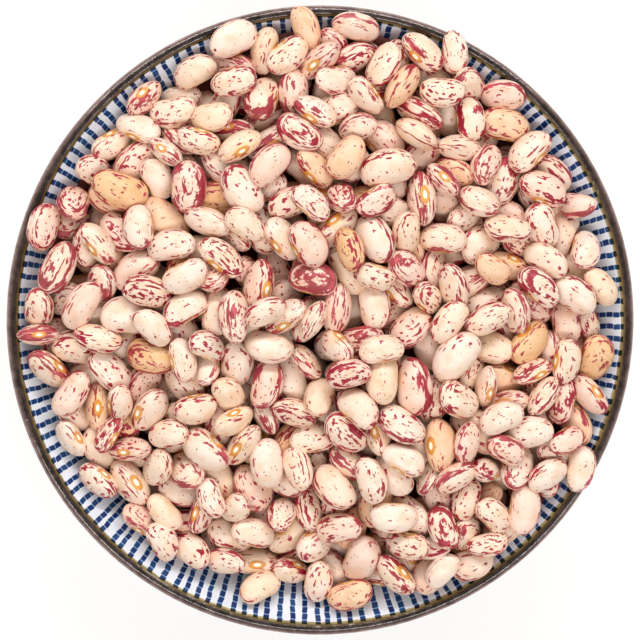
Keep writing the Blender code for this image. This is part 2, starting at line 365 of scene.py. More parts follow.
def mottle_group():
    """Slow uneven patches, as in any glaze or skin: a share from Low to High."""
    tree, wires, given, result = new_group(
        "Mottle", {"Place": "Vector", "Scale": "Float", "Low": "Float", "High": "Float"}, {"Value": "Float"}
    )
    patches = wires.noise(given["Place"], given["Scale"], 3, 0.55)
    share = wires.step(patches, 0.32, 0.68)
    wires.join(wires.between(share, given["Low"], given["High"]), result.inputs[0])
    return tree


def stripes_group():
    """Stripes of painted squares that run to the middle. Run is the distance down the wall from the lip."""
    inputs = {
        "Place": "Vector", "Run": "Float", "Stripes": "Float", "Stripe Share": "Float",
        "Square Pitch": "Float", "Square Line": "Float",
    }
    tree, wires, given, result = new_group(
        "Stripes of Squares", inputs, {"Stripe": "Float", "Line": "Float", "Shade": "Float"}
    )
    x, y, _ = wires.parts(given["Place"])
    turn = wires.add(wires.times(wires.math("ARCTAN2", y, x), 0.5 / math.pi), 0.5)
    radius = wires.math("SQRT", wires.add(wires.times(x, x), wires.times(y, y)))
    direction = wires.vector(wires.math("DIVIDE", x, radius), wires.math("DIVIDE", y, radius), 0.0)
    drift = wires.less(wires.noise(direction, 4, 2, 0.5), 0.5)
    waver = wires.less(wires.noise(given["Place"], 900, 2, 0.5), 0.5)
    count = wires.add(wires.times(turn, given["Stripes"]), wires.times(drift, 1.2))
    number = wires.math("FLOOR", count)
    own = wires.node("ShaderNodeTexWhiteNoise", {"W": number}, noise_dimensions="1D").outputs["Value"]
    off_middle = wires.less(wires.less(wires.math("FRACT", count), 0.5), wires.between(own, -0.13, 0.13))

    pitch = wires.times(given["Square Pitch"], wires.between(own, 0.96, 1.04))
    rung = wires.add(wires.math("DIVIDE", given["Run"], pitch), wires.times(own, 0.6))
    rung = wires.add(rung, wires.times(waver, 0.05))
    square = wires.vector(number, wires.math("FLOOR", rung), 0.0)
    stamp = wires.node("ShaderNodeTexWhiteNoise", {"Vector": square})
    shade = stamp.outputs["Value"]
    slip, lean, _ = wires.parts(stamp.outputs["Color"])
    off_rung = wires.less(wires.math("FRACT", rung), 0.5)
    off_middle = wires.add(off_middle, wires.between(slip, -0.035, 0.035))
    off_middle = wires.add(off_middle, wires.times(off_rung, wires.between(lean, -0.09, 0.09)))
    near = wires.math("ABSOLUTE", off_rung)
    line_half = wires.times(wires.math("DIVIDE", given["Square Line"], pitch), 0.5)
    gap = wires.less(0.5, line_half)
    line = wires.step(near, wires.less(gap, 0.04), wires.add(gap, 0.02))

    half = wires.times(given["Stripe Share"], 0.5)
    edge = wires.add(wires.math("ABSOLUTE", off_middle), wires.times(waver, 0.05))
    edge = wires.add(edge, wires.times(line, 0.035))
    stripe = wires.step(edge, wires.add(half, 0.022), wires.less(half, 0.022))
    for value, socket in zip((stripe, line, shade), result.inputs):
        wires.join(value, socket)
    return tree


def coat_group():
    """A speckled seed coat, read from each bean's own unit form and its own random draw."""
    inputs = {
        "Unit": "Vector", "Draw": "Vector", "Tone": "Color", "Crimson": "Color", "Rose": "Color",
        "Blush": "Color", "Dark": "Color", "Glow": "Color", "Ring": "Color", "Ring Edge": "Color",
        "Eye": "Color",
        "Flecks": "Float", "Splashes": "Float", "Streak": "Float", "Hilum Glow": "Float",
    }
    tree, wires, given, result = new_group(
        "Speckled Coat", inputs, {"Color": "Color", "Roughness": "Float", "Height": "Float"}
    )
    x, y, z = wires.parts(given["Unit"])
    draw_1, draw_2, draw_3 = wires.parts(given["Draw"])
    apart = wires.grow(given["Draw"], 40.0)
    slim_x = wires.times(x, 0.6)
    oval = wires.math("SQRT", wires.add(wires.times(slim_x, slim_x), wires.times(y, y)))
    spread = wires.add(oval, 0.25)
    along_x, along_y = wires.math("DIVIDE", x, spread), wires.math("DIVIDE", y, spread)
    rise = wires.math("ARCTAN2", z, oval)
    flat_side = wires.step(wires.math("ABSOLUTE", rise), 0.35, 1.15)
    clean_middle = wires.times(flat_side, wires.between(draw_3, 0.17, 0.03))

    def flow(along, across):
        """Where the colour runs: it is drawn out along the bean's outline and narrow across it."""
        flat_x, flat_y = wires.times(along_x, along), wires.times(along_y, along)
        return wires.shift(wires.vector(flat_x, flat_y, wires.times(rise, across)), apart)

    def marks(value, amount, most, softness):
        """What of a noise stands over an edge that falls as the amount grows."""
        edge = wires.less(0.70, wires.times(amount, most))
        return wires.step(value, edge, wires.add(edge, softness))

    form = wires.vector(wires.times(x, 3.2), wires.times(y, 2.5), wires.times(z, 2.4))
    form = wires.shift(form, apart)
    patch = wires.less(wires.noise(form, 0.4, 1, 0.5), 0.5)
    patch_2 = wires.less(wires.noise(form, 0.75, 1, 0.5), 0.5)

    splash = wires.add(wires.noise(flow(1.0, 2.4), 1.0, 4, 0.62), wires.times(patch, 0.34))
    splash = wires.less(splash, clean_middle)
    splashes = wires.times(given["Splashes"], wires.between(draw_1, 0.55, 1.25))
    splash_mask = marks(splash, splashes, 0.205, 0.014)
    fleck = wires.add(wires.noise(flow(2.3, 4.4), 1.0, 1, 0.6), wires.times(patch_2, 0.40))
    fleck = wires.less(fleck, wires.times(clean_middle, 0.7))
    flecks = wires.times(given["Flecks"], wires.between(draw_2, 0.5, 1.2))
    fleck_mask = marks(fleck, flecks, 0.15, 0.02)
    arcs = wires.add(wires.noise(flow(0.80, 4.0), 1.0, 3, 0.55), wires.times(patch_2, -0.30))
    arcs = wires.less(arcs, clean_middle)
    arc_amount = wires.times(given["Streak"], wires.between(draw_3, 0.5, 1.2))
    arc_mask = marks(arcs, arc_amount, 0.175, 0.016)

    # One line along the back and round the ends, broken here and there
    waver = wires.less(wires.noise(flow(1.5, 1.5), 1.2, 3, 0.6), 0.5)
    lift = wires.between(draw_3, -0.5, 0.5)
    off_line = wires.math("ABSOLUTE", wires.add(wires.less(rise, lift), wires.times(waver, 0.5)))
    thick = wires.between(wires.noise(flow(1.3, 1.0), 1.0, 3, 0.6), -0.13, 0.42)
    thick = wires.times(thick, wires.times(given["Streak"], wires.between(draw_1, 0.5, 1.4)))
    behind = wires.step(y, -0.35, 0.25)
    streak_mask = wires.times(wires.step(off_line, wires.add(thick, 0.02), wires.less(thick, 0.02)), behind)
    streak_mask = wires.math("MAXIMUM", streak_mask, arc_mask)

    dots = wires.node("ShaderNodeTexVoronoi", {"Vector": form, "Scale": 1.9}, feature="F1")
    dot_size = wires.between(wires.parts(dots.outputs["Color"])[0], -0.20, 0.20)
    dot_mask = wires.step(dots.outputs["Distance"], wires.add(dot_size, 0.035), dot_size)
    dot_mask = wires.times(dot_mask, wires.step(given["Flecks"], 0.0, 0.5))

    # The hilum: a white oval in a ring, with drawn-out tips and a yellow glow
    eye_x, eye_z = wires.times(x, 6.4), wires.times(z, 6.8)
    eye = wires.math("SQRT", wires.add(wires.times(eye_x, eye_x), wires.times(eye_z, eye_z)))
    front = wires.step(y, -0.5, -0.8)
    eye_mask = wires.times(wires.step(eye, 1.05, 0.85), front)
    tip = wires.step(wires.math("ABSOLUTE", z), 0.16, 0.02)
    tip = wires.times(tip, wires.step(wires.math("ABSOLUTE", x), 0.42, 0.16))
    around_eye = wires.math("MAXIMUM", wires.step(wires.add(eye, waver), 2.5, 1.9), tip)
    ring_mask = wires.times(wires.times(around_eye, front), wires.between(given["Hilum Glow"], 0.6, 1.0))
    halo = wires.step(wires.add(eye, wires.times(waver, 3.0)), 4.6, 0.8)
    halo = wires.times(halo, wires.step(y, 0.2, -0.75))
    halo = wires.times(halo, wires.times(given["Hilum Glow"], wires.between(draw_1, 0.35, 1.0)))

    slow = wires.noise(form, 0.5, 2, 0.5)
    tone = wires.mix(wires.step(slow, 0.42, 0.70), given["Tone"], PATCH_TINT, "MULTIPLY")
    bleed = wires.step(wires.math("MAXIMUM", splash, fleck), 0.54, 0.68)
    tone = wires.mix(wires.times(bleed, 0.42), tone, given["Blush"])
    tone = wires.mix(halo, tone, given["Glow"])
    paler = wires.step(wires.noise(flow(1.6, 3.0), 1.0, 3, 0.6), 0.50, 0.68)
    deep = wires.mix(paler, given["Crimson"], given["Rose"])
    crimson_mask = wires.math("MAXIMUM", wires.math("MAXIMUM", splash_mask, fleck_mask), streak_mask)
    crimson_mask = wires.times(crimson_mask, wires.step(eye, 1.5, 2.4))
    shown = wires.mix(wires.times(crimson_mask, wires.between(draw_2, 0.88, 1.0)), tone, deep)
    shown = wires.mix(wires.times(dot_mask, 0.8), shown, given["Dark"])
    tip_edge = wires.times(tip, wires.step(eye, 1.4, 2.0))
    ring_edge = wires.math("MAXIMUM", wires.step(wires.add(eye, waver), 1.8, 2.3), tip_edge)
    ring_tone = wires.mix(ring_edge, given["Ring"], given["Ring Edge"])
    shown = wires.mix(ring_mask, shown, ring_tone)
    shown = wires.mix(eye_mask, shown, given["Eye"])
    wires.join(shown, result.inputs["Color"])
    rough = wires.add(wires.between(slow, 0.36, 0.50), wires.times(crimson_mask, 0.05))
    wires.join(rough, result.inputs["Roughness"])
    skin = wires.times(wires.noise(form, 6.0, 2, 0.5), 0.25)
    brim = wires.times(wires.less(wires.step(eye, 2.0, 1.4), wires.step(eye, 1.3, 0.6)), front)
    wires.join(wires.add(skin, brim), result.inputs["Height"])
    return tree


def porcelain_material(look, stripes, mottle):
    """White glaze with the painted stripes inside, a brown lip, and a bare foot."""
    material, wires, shader = new_material("patterned_porcelain")
    place = wires.node("ShaderNodeTexCoord").outputs["Object"]
    run = wires.attribute("wall_run")
    inside = wires.step(run, 0.0, 0.1 * MM)
    white = wires.mix(
        wires.group(mottle, place=place, scale=60.0, low=0.0, high=1.0)[0],
        look.white, tuple(c * 0.93 for c in look.white),
    )
    paint = wires.group(
        stripes, place=place, run=run, stripes=float(look.stripes), stripe_share=look.stripe_share,
        square_pitch=look.square_pitch, square_line=look.square_line,
    )

    # On its deep side the stain is wide and pale; across from it, narrow and dark. The darker tone across
    # from the deep side is painted shade, while the paling inward from the lip is the stain's own colour.
    x, y, height = wires.parts(place)
    side = wires.add(
        wires.times(x, math.cos(look.stain_side) / RIM_RADIUS),
        wires.times(y, math.sin(look.stain_side) / RIM_RADIUS),
    )
    fray = wires.times(wires.less(wires.noise(place, 240, 3, 0.6), 0.5), FRAY)
    frayed_run = wires.add(run, fray)
    below_lip = wires.add(frayed_run, look.lip_inside)
    depth = wires.math("DIVIDE", below_lip, wires.add(wires.times(side, look.stain_slant), look.stain))
    stain = wires.times(wires.step(depth, 1.0, 0.8), wires.step(run, *STAIN_BEGINS))
    # Paler inward from the lip, as the glaze is, and darker across from the deep side as painted shade
    paleness_and_side_shade = wires.times(wires.step(depth, 0.05, 0.8), wires.step(side, -1.6, 0.5))
    uneven = wires.group(mottle, place=place, scale=55.0, low=0.55, high=1.0)[0]
    stain_tone = wires.mix(wires.times(paleness_and_side_shade, uneven), look.umber, look.olive)

    cobalt = wires.mix(paint["Shade"], look.cobalt, look.cobalt_light)
    cobalt = wires.mix(wires.times(paint["Line"], 0.85), cobalt, look.cobalt_pale)
    cobalt = wires.mix(wires.times(stain, 0.8), cobalt, look.green)
    painted = wires.mix(wires.times(paint["Stripe"], inside), white, cobalt)
    stained = wires.mix(stain, painted, stain_tone, "MULTIPLY")

    thin = wires.group(mottle, place=place, scale=330.0, low=0.0, high=1.0)[0]
    crest = wires.step(wires.add(run, wires.times(fray, 0.3)), *LIP_CREST)
    thinned = wires.add(wires.times(crest, wires.between(thin, 0.65, 1.0)), wires.times(thin, 0.15))
    brown = wires.mix(thinned, look.brown, look.brown_light)
    lip = wires.times(
        wires.step(below_lip, GLAZE_BLUR / 2, -GLAZE_BLUR),
        wires.step(frayed_run, -look.lip_outside - GLAZE_BLUR, -look.lip_outside + GLAZE_BLUR),
    )
    shown = wires.mix(lip, stained, brown)
    bare = wires.step(height, *BARE_FOOT)
    shown = wires.mix(bare, shown, look.biscuit)
    wires.join(shown, shader["Base Color"])

    rough = wires.group(mottle, place=place, scale=90.0, low=0.05, high=0.12)[0]
    rough = wires.add(rough, wires.times(lip, wires.between(thin, -0.03, 0.03)))
    wires.join(wires.math("MAXIMUM", rough, wires.times(bare, 0.8)), shader["Roughness"])
    wires.join(wires.times(lip, wires.between(thin, 0.4, 1.0)), shader["Coat Weight"])
    shader["Coat Roughness"].default_value = 0.05
    ripple = wires.noise(place, 130, 2, 0.5)
    pitted = wires.add(wires.times(lip, 0.5), wires.times(bare, 0.5))
    pits = wires.times(wires.noise(place, 700, 3, 0.6), pitted)
    wires.join(bump(wires, wires.add(wires.times(ripple, 0.35), pits), GLAZE_RELIEF), shader["Normal"])
    return material


def bean_material(name, look, coat, kind):
    _, tone, flecks, splashes, streak, glow = kind
    material, wires, shader = new_material(name + "_coat")
    out = wires.group(
        coat, unit=wires.attribute("bean_unit", "Vector"), draw=wires.attribute("bean_draw", "Vector"),
        tone=linear(*tone), crimson=look.crimson, rose=look.rose, blush=look.blush, dark=look.dark,
        glow=look.glow, ring=look.ring, ring_edge=look.ring_edge, eye=look.eye,
        flecks=flecks, splashes=splashes, streak=streak, hilum_glow=glow,
    )
    wires.join(out["Color"], shader["Base Color"])
    wires.join(out["Roughness"], shader["Roughness"])
    wires.join(bump(wires, out["Height"], COAT_RELIEF), shader["Normal"])
    return material


def core_material(look, mottle):
    material, wires, shader = new_material("shaded_core")
    place = wires.node("ShaderNodeTexCoord").outputs["Object"]
    patches = wires.group(mottle, place=place, scale=180.0, low=0.0, high=1.0)[0]
    # Painted shade of the beans deep in the heap, in lighter and darker patches
    wires.join(wires.mix(patches, look.core, tuple(c * 0.6 for c in look.core)), shader["Base Color"])
    wires.join(wires.between(patches, 0.6, 0.8), shader["Roughness"])
    return material


def floor_material(look, mottle):
    material, wires, shader = new_material("pale_floor")
    place = wires.node("ShaderNodeTexCoord").outputs["Object"]
    patches = wires.group(mottle, place=place, scale=3.0, low=0.0, high=1.0)[0]
    wires.join(wires.mix(patches, look.floor, tuple(c * 0.985 for c in look.floor)), shader["Base Color"])
    shader["Roughness"].default_value = 0.9
    shader["Specular IOR Level"].default_value = 0.1
    shader["Emission Color"].default_value = (*look.table_light, 1)
    shader["Emission Strength"].default_value = look.floor_glow
    return material


def shared_group(name, maker):
    """The group of that name, made the first time that it is asked for."""
    return bpy.data.node_groups.get(name) or maker()


def finished(name, mesh, material, node):
    """Links a finished piece, which rides on the one body and stands for a node of the frame."""
    mesh.materials.append(material)
    mesh.shade_smooth()
    obj = bpy.data.objects.new(name, mesh)
    bpy.context.scene.collection.objects.link(obj)
    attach(obj, "root")
    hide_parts(node)


def rim_inner_radius():
    """Where the inner curve ends, so that the lip's outermost point is at RIM_RADIUS."""
    slope = CURVE_POWER * DEPTH / RIM_RADIUS
    lean = slope / math.hypot(1, slope)
    return RIM_RADIUS - WALL / 2 * (1 + lean)


INNER_RADIUS = rim_inner_radius()


def dish_height(radius):
    """Height of the bowl's inner surface at a radius."""
    share = np.minimum(radius, INNER_RADIUS) / INNER_RADIUS
    return FLOOR_TOP + DEPTH * share**CURVE_POWER


def outward(radius):
    """The inner curve's point and its unit normal into the wall, both as (radius, height)."""
    slope = CURVE_POWER * DEPTH / INNER_RADIUS * (radius / INNER_RADIUS) ** (CURVE_POWER - 1)
    point = Vector((radius, float(dish_height(radius))))
    return point, Vector((slope, -1)).normalized()


def arc(middle, radius, start, end, steps):
    """Points of an arc in the half section, without its first."""
    angles = [start + (end - start) * k / steps for k in range(1, steps + 1)]
    return [middle + Vector((math.cos(a), math.sin(a))) * radius for a in angles]


def bowl_outline():
    """The bowl's half section, from the middle of its inside, and how many points the inner curve has."""
    inner = [outward(INNER_RADIUS * k / INNER_STEPS)[0] for k in range(INNER_STEPS + 1)]
    end, into_wall = outward(INNER_RADIUS)
    start = math.atan2(-into_wall.y, -into_wall.x)
    lip = arc(end + into_wall * WALL / 2, WALL / 2, start, start - math.pi, LIP_STEPS)
    outer = []
    for k in range(1, OUTER_STEPS + 1):
        radius = INNER_RADIUS + (FOOT_OUTER + FOOT_FLARE - INNER_RADIUS) * k / OUTER_STEPS
        point, into_wall = outward(radius)
        outer.append(point + into_wall * WALL)
    wall_end = outer[-1]
    corner = Vector((FOOT_OUTER, wall_end.y))
    shank = Vector((FOOT_OUTER, wall_end.y - FOOT_FILLET))
    fillet = [wall_end.lerp(corner, t).lerp(corner.lerp(shank, t), t) for t in (0.25, 0.5, 0.75)]
    edge, steps = FOOT_ROUNDING, ROUNDING_STEPS
    down, left, up = -math.pi / 2, -math.pi, math.pi / 2
    foot = [shank, Vector((FOOT_OUTER, edge))]
    foot += arc(Vector((FOOT_OUTER - edge, edge)), edge, 0, down, steps)
    foot += [Vector((FOOT_INNER + edge, 0))]
    foot += arc(Vector((FOOT_INNER + edge, edge)), edge, down, left, steps)
    foot += [Vector((FOOT_INNER, FOOT_RECESS - edge))]
    foot += arc(Vector((FOOT_INNER - edge, FOOT_RECESS - edge)), edge, 0, up, steps)
    foot += [Vector((FOOT_INNER * k / RECESS_STEPS, FOOT_RECESS)) for k in reversed(range(RECESS_STEPS))]
    return inner + lip + outer + fillet + foot, len(inner)


class BEANBOWL_OT_turn_bowl(bpy.types.Operator):
    """Turns the bowl from its half section and glazes it"""

    bl_idname = "beanbowl.turn_bowl"
    bl_label = "Turn Bowl"

    def execute(self, context):
        look = context.scene.bowl_look
        outline, inner_count = bowl_outline()
        runs = [0.0]
        for first, second in zip(outline, outline[1:]):
            runs.append(runs[-1] + (second - first).length)
        bm = bmesh.new()
        wall_run = bm.verts.layers.float.new("wall_run")
        corners = []
        for point, run in zip(outline, runs):
            corner = bm.verts.new((point.x, 0, point.y))
            corner[wall_run] = runs[inner_count - 1] - run
            corners.append(corner)
        for first, second in zip(corners, corners[1:]):
            bm.edges.new((first, second))
        bmesh.ops.spin(
            bm, geom=bm.verts[:] + bm.edges[:], cent=(0, 0, 0), axis=(0, 0, 1),
            angle=2 * math.pi, steps=look.around, use_merge=True,
        )
        bmesh.ops.remove_doubles(bm, verts=bm.verts, dist=MERGE)
        bmesh.ops.recalc_face_normals(bm, faces=bm.faces)
        mesh = bpy.data.meshes.new("striped_bowl")
        bm.to_mesh(mesh)
        bm.free()
        stripes = shared_group("Stripes of Squares", stripes_group)
        mottle = shared_group("Mottle", mottle_group)
        finished("striped_bowl", mesh, porcelain_material(look, stripes, mottle), "bowl")
        return {"FINISHED"}


def heap_edge(angle):
    """The heap's outer radius, which swings in and out around the bowl."""
    swings = (size * np.cos(count * (angle - way)) for count, way, size in HEAP_SWINGS)
    return HEAP_EDGE + RIM_RADIUS * sum(swings)


def heap_height(x, y):
    """Height of the heap's even outer form, a dome that drops off past its edge."""
    edge = heap_edge(np.arctan2(y, x))
    share = np.hypot(x, y) / edge
    dome = HEAP_RISE * (1 - share**2)
    past = np.clip(share - 1, 0, None) * edge
    return dish_height(edge) + HEAP_LIFT + dome - HEAP_FALL * past


def turned(yaw, pitch, roll):
    """Rotation matrices for arrays of yaw, pitch and roll. A bean's length is its X, its thickness Z."""
    none, one = np.zeros_like(yaw), np.ones_like(yaw)
    cz, sz = np.cos(yaw), np.sin(yaw)
    cy, sy = np.cos(pitch), np.sin(pitch)
    cx, sx = np.cos(roll), np.sin(roll)
    about_z = np.stack([cz, -sz, none, sz, cz, none, none, none, one], -1).reshape(-1, 3, 3)
    about_y = np.stack([cy, none, sy, none, one, none, -sy, none, cy], -1).reshape(-1, 3, 3)
    about_x = np.stack([one, none, none, none, cx, -sx, none, sx, cx], -1).reshape(-1, 3, 3)
    return about_z @ about_y @ about_x


def tipped(slope_x, slope_y):
    """Rotation matrices that tip +Z to the normal of a surface with these slopes."""
    normal = np.stack([-slope_x, -slope_y, np.ones_like(slope_x)], -1)
    normal /= np.linalg.norm(normal, axis=1, keepdims=True)
    x, y, z = normal.T
    none = np.zeros_like(x)
    cross = np.stack([none, none, x, none, none, y, -x, -y, none], -1).reshape(-1, 3, 3)
    return np.eye(3) + cross + cross @ cross / (1 + z)[:, None, None]


def ellipsoid_sides(turn, half_sizes, dx, dy):
    """Lower and upper height of turned ellipsoids over a footprint of offsets, and where they have any."""
    form = turn @ np.diag(1 / half_sizes**2) @ np.swapaxes(turn, -1, -2)
    xx, xy, xz, yy, yz, zz = (
        form[..., i, j][..., None, None] for i, j in ((0, 0), (0, 1), (0, 2), (1, 1), (1, 2), (2, 2))
    )
    linear_part = xz * dx + yz * dy
    rest = xx * dx**2 + 2 * xy * dx * dy + yy * dy**2 - 1
    inside = linear_part**2 - zz * rest
    root = np.sqrt(np.where(inside > 0, inside, 0))
    return (-linear_part - root) / zz, (-linear_part + root) / zz, inside > 0


def bean_half_sizes(random):
    length = np.clip(random.normal(BEAN_LENGTH, BEAN_LENGTH_SPREAD), BEAN_SHORTEST, BEAN_LONGEST)
    width = length * random.normal(*WIDTH_SHARE)
    thickness = width * random.normal(*THICKNESS_SHARE)
    return np.array([length, width, thickness]) / 2


def bean_turns(random, slope_x, slope_y):
    """One random way up for each try. Some beans lie flat on what is under them, the rest anyhow."""
    count = len(slope_x)
    flat = random.random(count) < LIE_FLAT_SHARE
    roll = np.where(flat, random.normal(0, FLAT_ROLL, count), random.uniform(-math.pi, math.pi, count))
    roll += np.where(random.random(count) < 0.5, math.pi, 0)
    yaw = random.uniform(0, 2 * math.pi, count)
    return tipped(FOLLOW_SLOPE * slope_x, FOLLOW_SLOPE * slope_y) @ turned(
        yaw, random.normal(0, PITCH, count), roll
    )


def lay_beans():
    """Lays the heap bean by bean: of many tries, each bean takes the one that settles deepest under the
    heap's outer form. Returns (centre, turn, half sizes, area seen from above) for each, in order."""
    random = np.random.default_rng(SEED)
    reach = RIM_RADIUS + FOOTPRINT * GRID_STEP
    axis = np.arange(-reach, reach, GRID_STEP)
    count = len(axis)
    grid_x, grid_y = np.meshgrid(axis, axis)
    outside = np.hypot(grid_x, grid_y) > INNER_RADIUS + WALL
    form = heap_height(grid_x, grid_y)
    dish = dish_height(np.hypot(grid_x, grid_y)) + DISH_GAP
    dish[outside] = OUTSIDE_HEIGHT
    ground = np.maximum(dish, form - FILL_DEPTH)
    owner = np.full(ground.shape, -1)
    cells = np.arange(-FOOTPRINT, FOOTPRINT + 1)
    cell_x, cell_y = np.meshgrid(cells, cells)
    dx, dy = cell_x * GRID_STEP, cell_y * GRID_STEP
    span = 2 * SLOPE_CELLS * GRID_STEP
    beans = []
    failures = 0
    while failures < GIVE_UP_AFTER:
        half_sizes = bean_half_sizes(random)
        room = (form - ground).ravel()
        open_cells = np.flatnonzero(room > LEAST_ROOM)
        if not len(open_cells):
            break
        weight = room[open_cells] ** 2
        row, column = divmod(random.choice(open_cells, TRIES, p=weight / weight.sum()), count)
        fall_x = ground[row, column + SLOPE_CELLS] - ground[row, column - SLOPE_CELLS]
        fall_y = ground[row + SLOPE_CELLS, column] - ground[row - SLOPE_CELLS, column]
        slope_x, slope_y = np.clip(fall_x / span, -1, 1), np.clip(fall_y / span, -1, 1)
        turn = bean_turns(random, slope_x, slope_y)
        rows, columns = row[:, None, None] + cell_y, column[:, None, None] + cell_x
        low, _, inside = ellipsoid_sides(turn, half_sizes * NESTLE, dx, dy)
        under = ground[rows, columns]
        height = np.where(inside, under - low, NOWHERE).max((1, 2))
        full_low, _, full_inside = ellipsoid_sides(turn, half_sizes, dx, dy)
        on_dish = np.where(full_inside, dish[rows, columns] - full_low, NOWHERE).max((1, 2))
        height = np.maximum(height, on_dish)
        gap = np.where(inside, height[:, None, None] + low - under, 0).sum((1, 2)) / inside.sum((1, 2))
        half_height = np.sqrt(((turn[:, 2, :] * half_sizes) ** 2).sum(1))
        target = form[row, column]
        score = height - target + GAP_WEIGHT * gap
        score[height + half_height - target > MOST_OVER] = np.inf
        best = int(np.argmin(score))
        if not np.isfinite(score[best]):
            failures += 1
            continue
        failures = 0
        _, high, inside = ellipsoid_sides(turn[best], half_sizes, dx, dy)
        top = np.where(inside, height[best] + high, NOWHERE)
        rows, columns = row[best] + cell_y, column[best] + cell_x
        higher = top > ground[rows, columns]
        ground[rows[higher], columns[higher]] = top[higher]
        owner[rows[higher], columns[higher]] = len(beans)
        centre = (axis[column[best]], axis[row[best]], height[best])
        beans.append((Vector(centre), turn[best], half_sizes))
    seen = np.bincount(owner[owner >= 0], minlength=len(beans)) * GRID_STEP**2
    return [(*bean, area) for bean, area in zip(beans, seen)]


def unit_ball(around, along):
    """A ball of radius 1 with its poles at the bean's ends: its points, and its faces as point numbers."""
    bm = bmesh.new()
    bmesh.ops.create_uvsphere(bm, u_segments=around, v_segments=along, radius=1)
    bmesh.ops.rotate(bm, verts=bm.verts, cent=(0, 0, 0), matrix=Matrix.Rotation(math.pi / 2, 3, "Y"))
    bm.verts.ensure_lookup_table()
    points = np.array([vertex.co[:] for vertex in bm.verts])
    faces = [[vertex.index for vertex in face.verts] for face in bm.faces]
    bm.free()
    return points, faces


def bean_form(ball, look, random):
    """Shapes the ball into one bean on half sizes of 1."""
    x, y, z = ball.T
    ring = np.sqrt(np.maximum(1 - x**2, 1e-9))
    width = np.sqrt(np.maximum(1 - np.abs(x) ** BLUNTNESS, 0)) / ring
    thickness = np.maximum(1 - x**2, 0) ** KEENNESS / ring
    fuller = 1 + random.normal(0, look.taper) * x
    phases = random.uniform(0, 2 * math.pi, 4)
    swell = np.sin(2.3 * x + phases[0]) + np.sin(3.1 * y + phases[1])
    swell = swell + np.sin(2.7 * z + phases[2]) + np.sin(5.2 * x * y + phases[3])
    fuller = fuller * (1 + look.unevenness * swell)
    bend = random.normal(look.bend, look.bend_spread)
    dent = look.dent * np.exp(-((x / DENT_LENGTH) ** 2) - (z / DENT_HEIGHT) ** 2) * (y < 0)
    return np.stack([x, y * width * fuller + bend * (0.5 - x**2) + dent, z * thickness * fuller], -1)


def clear_of_bowl(points):
    """Lifts points that would reach into the bowl onto its inner surface or its lip."""
    radius = np.hypot(points[:, 0], points[:, 1])
    lowest = dish_height(radius) + SKIN_GAP
    points[:, 2] = np.maximum(points[:, 2], lowest + LIP_GAP * (radius > INNER_RADIUS))
    return points


def joined_beans(name, beans, look, random):
    """One mesh of single beans. Each point keeps its place on the unit ball, and its bean's random draw."""
    balls = {sides: unit_ball(*sides) for sides in (FINE_SIDES, PLAIN_SIDES)}
    points, faces, units, draws = [], [], [], []
    start = 0
    for centre, turn, half_sizes, area in beans:
        ball, ball_faces = balls[FINE_SIDES if area > SEEN_WELL else PLAIN_SIDES]
        placed = (bean_form(ball, look, random) * half_sizes) @ turn.T + np.array(centre)
        points.append(clear_of_bowl(placed))
        units.append(ball)
        draws.append(np.tile(random.random(3), (len(ball), 1)))
        faces += [[start + corner for corner in face] for face in ball_faces]
        start += len(ball)
    mesh = bpy.data.meshes.new(name)
    mesh.from_pydata(np.concatenate(points).tolist(), [], faces)
    for label, values in (("bean_unit", units), ("bean_draw", draws)):
        attribute = mesh.attributes.new(label, "FLOAT_VECTOR", "POINT")
        attribute.data.foreach_set("vector", np.concatenate(values).ravel())
    mesh.update()
    return mesh


class BEANBOWL_OT_lay_beans(bpy.types.Operator):
    """Lays every bean of the heap, sorted into kinds by their coats, one object for each kind"""

    bl_idname = "beanbowl.lay_beans"
    bl_label = "Lay Beans"

    def execute(self, context):
        look = context.scene.bean_look
        random = np.random.default_rng(SKIN_SEED)
        beans = lay_beans()
        shares = np.array([kind[0] for kind in KINDS.values()], float)
        drawn = random.choice(len(KINDS), len(beans), p=shares / shares.sum())
        coat = shared_group("Speckled Coat", coat_group)
        for number, (name, kind) in enumerate(KINDS.items()):
            own = [bean for bean, which in zip(beans, drawn) if which == number]
            mesh = joined_beans(name, own, look, random)
            finished(name, mesh, bean_material(name, look, coat, kind), "bean_heap")
        return {"FINISHED"}


class BEANBOWL_OT_make_core(bpy.types.Operator):
    """Makes the dark inner mesh that closes the view deep between the beans; its colour is painted shade"""

    bl_idname = "beanbowl.make_core"
    bl_label = "Make Core"

    def execute(self, context):
        look = context.scene.bean_look
        bm = bmesh.new()
        top = [bm.verts.new((k / CORE_RINGS, 0, 1)) for k in range(CORE_RINGS + 1)]
        under = [bm.verts.new((k / CORE_RINGS, 0, 0)) for k in range(CORE_RINGS, -1, -1)]
        outline = top + under
        for first, second in zip(outline, outline[1:]):
            bm.edges.new((first, second))
        bmesh.ops.spin(
            bm, geom=bm.verts[:] + bm.edges[:], cent=(0, 0, 0), axis=(0, 0, 1),
            angle=2 * math.pi, steps=CORE_AROUND, use_merge=True,
        )
        bmesh.ops.remove_doubles(bm, verts=bm.verts, dist=MERGE)
        for vertex in bm.verts:
            edge = CORE_EDGE * float(heap_edge(math.atan2(vertex.co.y, vertex.co.x)))
            x, y = vertex.co.x * edge, vertex.co.y * edge
            bottom = float(dish_height(math.hypot(x, y))) + CORE_GAP
            dome = float(heap_height(x, y)) - look.core_depth
            vertex.co = (x, y, max(dome, bottom + CORE_SKIRT) if vertex.co.z > 0.5 else bottom)
        bmesh.ops.recalc_face_normals(bm, faces=bm.faces)
        mesh = bpy.data.meshes.new("heap_core")
        bm.to_mesh(mesh)
        bm.free()
        mottle = shared_group("Mottle", mottle_group)
        finished("heap_core", mesh, core_material(look, mottle), "bean_heap")
        return {"FINISHED"}


